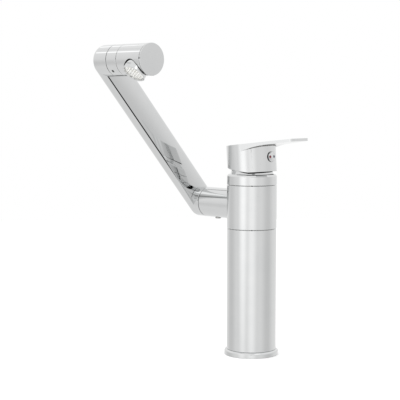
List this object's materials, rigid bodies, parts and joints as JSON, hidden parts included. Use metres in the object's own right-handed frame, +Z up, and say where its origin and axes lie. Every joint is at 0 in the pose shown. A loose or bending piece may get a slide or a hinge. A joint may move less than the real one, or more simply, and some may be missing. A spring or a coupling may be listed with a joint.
{
  "type": "basin mixer tap with jointed spout",
  "caption": "Round column mixer tap with a flat lever on top, a turning section with a side stub, a long pivoting arm and a turning outlet head with an aerator.",
  "frame": {"origin": "centre of the foot's underside, on the deck's surface", "axes": "+Z up along the column, the stub points to -X, the arm leans to -Y and the lever at its middle setting points to +X"},
  "size_m": [0.1398, 0.172, 0.3635],
  "materials": {
    "chrome": "polished",
    "brass": "machined",
    "copper": "drawn",
    "steel": "bright zinc",
    "rubber": "matte",
    "white_plastic": "smooth",
    "grey_plastic": "smooth",
    "ceramic": "lapped ceramic",
    "red_paint": "enamel",
    "blue_paint": "enamel"
  },
  "bodies": {
    "base": {"base_flange": "chrome", "base_gasket": "rubber", "inlet_block": "brass", "lower_column": "chrome", "hot_riser": "copper", "cold_riser": "copper", "valve_body": "brass", "lower_glide_ring": "white_plastic", "upper_glide_ring": "white_plastic", "swivel_o_rings": "rubber", "collar_ring": "chrome", "neck_dome": "chrome", "cartridge_nut": "brass", "cartridge_housing": "grey_plastic", "cartridge_base": "grey_plastic", "cartridge_seals": "rubber", "fixed_disc": "ceramic", "fixing_stud": "steel", "deck_gasket": "rubber", "clamp_washer": "steel", "fixing_nut": "brass"},
    "swivel": {"swivel_section": "chrome", "elbow_grub_screw": "chrome"},
    "arm": {"arm": "chrome", "elbow_shaft": "brass", "elbow_o_rings": "rubber", "head_shaft": "brass", "head_o_rings": "rubber"},
    "head": {"head_ring": "chrome", "head_grub_screw": "steel", "head_shell": "chrome", "head_end_cap": "chrome", "aerator_washer": "rubber", "aerator_collar": "chrome", "aerator_former": "white_plastic", "aerator_screen": "steel"},
    "turret": {"lever_turret": "grey_plastic", "lever_pin": "steel"},
    "disc": {"moving_disc": "ceramic", "disc_carrier": "grey_plastic"},
    "handle": {"handle": "chrome", "lever_spindle": "steel", "handle_grub_screw": "steel", "index_plug": "chrome", "hot_mark": "red_paint", "cold_mark": "blue_paint"}
  },
  "joints": [
    {"name": "spout_swivel", "type": "hinge", "parent": "base", "child": "swivel", "pos_m": [0, 0, 0.15], "axis": [0, 0, 1], "continuous": true},
    {"name": "arm_pivot", "type": "hinge", "parent": "swivel", "child": "arm", "pos_m": [-0.062, 0, 0.15], "axis": [1, 0, 0], "range_deg": [-171, 88]},
    {"name": "head_rotation", "type": "hinge", "parent": "arm", "child": "head", "pos_m": [-0.0567, -0.1259, 0.2923], "axis": [1, 0, 0], "continuous": true},
    {"name": "temperature", "type": "hinge", "parent": "base", "child": "turret", "pos_m": [0, 0, 0.189], "axis": [0, 0, 1], "range_deg": [-50.5, 39.5]},
    {"name": "handle_lift", "type": "hinge", "parent": "turret", "child": "handle", "pos_m": [0, 0, 0.189], "axis": [0.0958, -0.9954, 0], "range_deg": [-3.8, 16.2]},
    {"name": "disc_slide", "type": "slide", "parent": "turret", "child": "disc", "axis": [0.9954, 0.0958, 0], "range_m": [-0.0012, 0.005]}
  ],
  "couplings": [
    {"joint": "disc_slide", "follows": "handle_lift", "m_per_rad": 0.017555}
  ]
}
